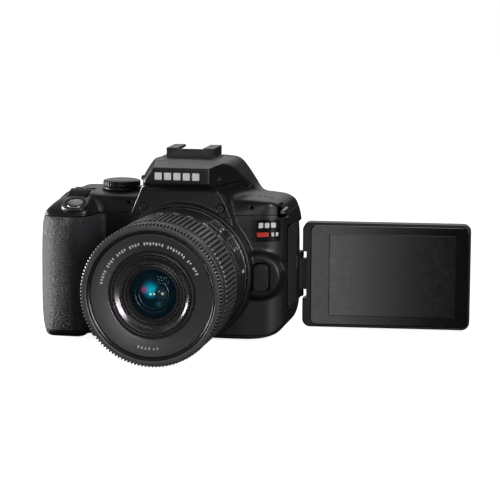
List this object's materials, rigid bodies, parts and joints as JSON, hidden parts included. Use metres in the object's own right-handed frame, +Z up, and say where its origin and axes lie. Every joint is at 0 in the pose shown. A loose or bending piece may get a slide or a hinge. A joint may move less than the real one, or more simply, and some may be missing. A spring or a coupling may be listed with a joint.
{
  "type": "dslr camera",
  "caption": "Compact digital SLR camera with a ribbed zoom lens, moulded hand grip, pop-up flash and side-hinged vari-angle screen shown open.",
  "frame": {"origin": "mouth of the tripod socket, on the base plane and straight under the lens axis", "axes": "+X from the hand grip towards the open screen, -Y the way the lens points, +Z up"},
  "size_m": [0.2078, 0.1286, 0.0926],
  "materials": {
    "body_plastic": "satin black moulded plastic with a fine texture",
    "grip_rubber": "black grained rubber skin",
    "soft_rubber": "black soft rubber",
    "inner_plastic": "matt black light trap",
    "button_plastic": "semi-gloss black",
    "dial_plastic": "semi-gloss black, knurled",
    "shutter_metal": "dark spun metal",
    "frame_metal": "die cast",
    "bright_steel": "machined",
    "dark_steel": "black oxide",
    "blade_metal": "thin blackened blades",
    "mount_chrome": "turned",
    "hinge_metal": "black",
    "shoe_metal": "black plated steel",
    "mirror_glass": "front silvered",
    "optical_glass": "clear",
    "lens_glass": "coated glass",
    "sensor_glass": "filter glass over the imager",
    "screen_glass": "dark cover glass",
    "display_panel": "unlit display",
    "circuit_board": "green board with black chips",
    "battery_plastic": "dark grey",
    "card_plastic": "dark blue",
    "lens_plastic": "satin black",
    "zoom_rubber": "ribbed black rubber"
  },
  "bodies": {
    "camera_body": {"front_cover": "body_plastic", "top_cover": "body_plastic", "rear_cover": "body_plastic", "bottom_cover": "body_plastic", "rubber_grips": "grip_rubber", "chassis": "frame_metal", "tripod_socket": "bright_steel", "strap_lugs": "bright_steel", "screws": "dark_steel", "mount_ring": "mount_chrome", "mirror_box": "inner_plastic", "focusing_screen": "optical_glass", "pentamirror": "inner_plastic", "eyepiece_lens": "optical_glass", "eyecup": "soft_rubber", "shutter_frame": "inner_plastic", "image_sensor": "sensor_glass", "main_board": "circuit_board", "hot_shoe": "shoe_metal", "battery": "battery_plastic", "memory_card": "card_plastic", "lens_mount_plate": "mount_chrome", "lens_barrel": "lens_plastic"},
    "zoom_ring": {"zoom_ring": "zoom_rubber"},
    "front_group": {"front_barrel": "lens_plastic", "name_ring": "lens_plastic", "lens_elements": "lens_glass", "aperture_unit": "inner_plastic"},
    "focus_ring": {"focus_ring": "lens_plastic"},
    "hinge_block": {"screen_hinge": "hinge_metal"},
    "screen": {"screen_housing": "body_plastic", "screen_glass": "screen_glass", "lcd_panel": "display_panel"},
    "flash_head": {"flash_head": "body_plastic"},
    "mode_dial": {"mode_dial": "dial_plastic"},
    "power_lever": {"power_lever": "dial_plastic"},
    "main_dial": {"main_dial": "dial_plastic"},
    "diopter_knob": {"diopter_knob": "button_plastic"},
    "shutter_button": {"shutter_button": "shutter_metal"},
    "iso_button": {"iso_button": "button_plastic"},
    "disp_button": {"disp_button": "button_plastic"},
    "menu_button": {"menu_button": "button_plastic"},
    "info_button": {"info_button": "button_plastic"},
    "live_view_button": {"live_view_button": "button_plastic"},
    "lock_button": {"lock_button": "button_plastic"},
    "focus_point_button": {"focus_point_button": "button_plastic"},
    "play_button": {"play_button": "button_plastic"},
    "set_button": {"set_button": "button_plastic"},
    "lens_release_button": {"lens_release_button": "button_plastic"},
    "lens_lock_pin": {"lens_lock_pin": "bright_steel"},
    "cross_keys": {"cross_keys": "button_plastic"},
    "reflex_mirror": {"reflex_mirror": "mirror_glass"},
    "sub_mirror": {"sub_mirror": "mirror_glass"},
    "front_curtain": {"front_curtain": "blade_metal"},
    "rear_curtain": {"rear_curtain": "blade_metal"},
    "terminal_cover": {"terminal_cover": "soft_rubber"},
    "battery_door": {"battery_door": "body_plastic"},
    "door_latch": {"door_latch": "button_plastic"},
    "focus_mode_switch": {"focus_mode_switch": "button_plastic"},
    "stabilizer_switch": {"stabilizer_switch": "button_plastic"}
  },
  "joints": [
    {"name": "zoom_turn", "type": "hinge", "parent": "camera_body", "child": "zoom_ring", "pos_m": [0, -0.063, 0.0336], "axis": [0, -1, 0], "range_deg": [0, 65]},
    {"name": "barrel_slide", "type": "slide", "parent": "camera_body", "child": "front_group", "axis": [0, -1, 0], "range_m": [0, 0.0139]},
    {"name": "focus_turn", "type": "hinge", "parent": "front_group", "child": "focus_ring", "pos_m": [0, -0.084, 0.0336], "axis": [0, -1, 0], "continuous": true},
    {"name": "screen_swing", "type": "hinge", "parent": "camera_body", "child": "hinge_block", "pos_m": [0.0488, 0.0302, 0.0269], "axis": [0, 0, -1], "range_deg": [-175.4, 0]},
    {"name": "screen_twist", "type": "hinge", "parent": "hinge_block", "child": "screen", "pos_m": [0.0488, 0.0302, 0.0269], "axis": [-0.9968, -0.0802, 0], "range_deg": [0, 270]},
    {"name": "flash_lift", "type": "hinge", "parent": "camera_body", "child": "flash_head", "pos_m": [0, 0.009, 0.081], "axis": [-1, 0, 0], "range_deg": [0, 62]},
    {"name": "mode_dial_turn", "type": "hinge", "parent": "camera_body", "child": "mode_dial", "pos_m": [-0.0368, 0.005, 0.073], "axis": [0, 0, 1], "continuous": true},
    {"name": "power_lever_turn", "type": "hinge", "parent": "camera_body", "child": "power_lever", "pos_m": [-0.0368, 0.005, 0.071], "axis": [0, 0, 1], "range_deg": [0, 40]},
    {"name": "main_dial_turn", "type": "hinge", "parent": "camera_body", "child": "main_dial", "pos_m": [-0.0545, -0.0105, 0.0658], "axis": [1, 0, 0], "continuous": true},
    {"name": "diopter_knob_turn", "type": "hinge", "parent": "camera_body", "child": "diopter_knob", "pos_m": [-0.022, 0.032, 0.07], "axis": [0, 1, 0], "range_deg": [-150, 150]},
    {"name": "shutter_button_press", "type": "slide", "parent": "camera_body", "child": "shutter_button", "axis": [0, 0.3907, -0.9205], "range_m": [0, 0.0008], "stiffness_N_per_m": 300, "springref_m": -0.0005},
    {"name": "iso_button_press", "type": "slide", "parent": "camera_body", "child": "iso_button", "axis": [0, 0, -1], "range_m": [0, 0.0006], "stiffness_N_per_m": 250, "springref_m": -0.0005},
    {"name": "disp_button_press", "type": "slide", "parent": "camera_body", "child": "disp_button", "axis": [0, 0, -1], "range_m": [0, 0.0006], "stiffness_N_per_m": 250, "springref_m": -0.0005},
    {"name": "menu_button_press", "type": "slide", "parent": "camera_body", "child": "menu_button", "axis": [0, -1, 0], "range_m": [0, 0.0006], "stiffness_N_per_m": 250, "springref_m": -0.0005},
    {"name": "info_button_press", "type": "slide", "parent": "camera_body", "child": "info_button", "axis": [0, -1, 0], "range_m": [0, 0.0006], "stiffness_N_per_m": 250, "springref_m": -0.0005},
    {"name": "live_view_button_press", "type": "slide", "parent": "camera_body", "child": "live_view_button", "axis": [0, -1, 0], "range_m": [0, 0.0006], "stiffness_N_per_m": 250, "springref_m": -0.0005},
    {"name": "lock_button_press", "type": "slide", "parent": "camera_body", "child": "lock_button", "axis": [0, -1, 0], "range_m": [0, 0.0006], "stiffness_N_per_m": 250, "springref_m": -0.0005},
    {"name": "focus_point_button_press", "type": "slide", "parent": "camera_body", "child": "focus_point_button", "axis": [0, -1, 0], "range_m": [0, 0.0006], "stiffness_N_per_m": 250, "springref_m": -0.0005},
    {"name": "play_button_press", "type": "slide", "parent": "camera_body", "child": "play_button", "axis": [0, -1, 0], "range_m": [0, 0.0006], "stiffness_N_per_m": 250, "springref_m": -0.0005},
    {"name": "set_button_press", "type": "slide", "parent": "camera_body", "child": "set_button", "axis": [0, -1, 0], "range_m": [0, 0.0006], "stiffness_N_per_m": 250, "springref_m": -0.0005},
    {"name": "lens_release_button_press", "type": "slide", "parent": "camera_body", "child": "lens_release_button", "axis": [0, 1, 0], "range_m": [0, 0.0025], "stiffness_N_per_m": 400, "springref_m": -0.0005},
    {"name": "lock_pin_slide", "type": "slide", "parent": "camera_body", "child": "lens_lock_pin", "axis": [0, 1, 0], "range_m": [0, 0.0025]},
    {"name": "cross_keys_tilt", "type": "hinge", "parent": "camera_body", "child": "cross_keys", "pos_m": [-0.055, 0.0336, 0.022], "axis": [1, 0, 0], "range_deg": [-3, 3], "stiffness_Nm_per_rad": 0.05},
    {"name": "mirror_flip", "type": "hinge", "parent": "camera_body", "child": "reflex_mirror", "pos_m": [0, 0.0124, 0.0462], "axis": [-1, 0, 0], "range_deg": [0, 45], "stiffness_Nm_per_rad": 0.01, "springref_deg": -17.19},
    {"name": "sub_mirror_fold", "type": "hinge", "parent": "reflex_mirror", "child": "sub_mirror", "pos_m": [0, 0.0042, 0.0346], "axis": [-1, 0, 0], "range_deg": [0, 75]},
    {"name": "front_curtain_travel", "type": "slide", "parent": "camera_body", "child": "front_curtain", "axis": [0, 0, -1], "range_m": [0, 0.0174]},
    {"name": "rear_curtain_travel", "type": "slide", "parent": "camera_body", "child": "rear_curtain", "axis": [0, 0, -1], "range_m": [0, 0.0174]},
    {"name": "terminal_cover_open", "type": "hinge", "parent": "camera_body", "child": "terminal_cover", "pos_m": [0.0502, -0.0038, 0.0355], "axis": [0, 0, -1], "range_deg": [0, 90]},
    {"name": "battery_door_open", "type": "hinge", "parent": "camera_body", "child": "battery_door", "pos_m": [-0.0447, -0.0105, 0.0015], "axis": [0, -1, 0], "range_deg": [0, 85]},
    {"name": "door_latch_slide", "type": "slide", "parent": "battery_door", "child": "door_latch", "axis": [1, 0, 0], "range_m": [0, 0.0013]},
    {"name": "focus_mode_switch_slide", "type": "slide", "parent": "camera_body", "child": "focus_mode_switch", "axis": [0, 1, 0], "range_m": [0, 0.0046]},
    {"name": "stabilizer_switch_slide", "type": "slide", "parent": "camera_body", "child": "stabilizer_switch", "axis": [0, 1, 0], "range_m": [0, 0.0046]}
  ],
  "couplings": [
    {"joint": "zoom_turn", "follows": "barrel_slide", "rad_per_m": 81.491},
    {"joint": "lock_pin_slide", "follows": "lens_release_button_press", "ratio": 1},
    {"joint": "sub_mirror_fold", "follows": "mirror_flip", "ratio": 1.66}
  ]
}
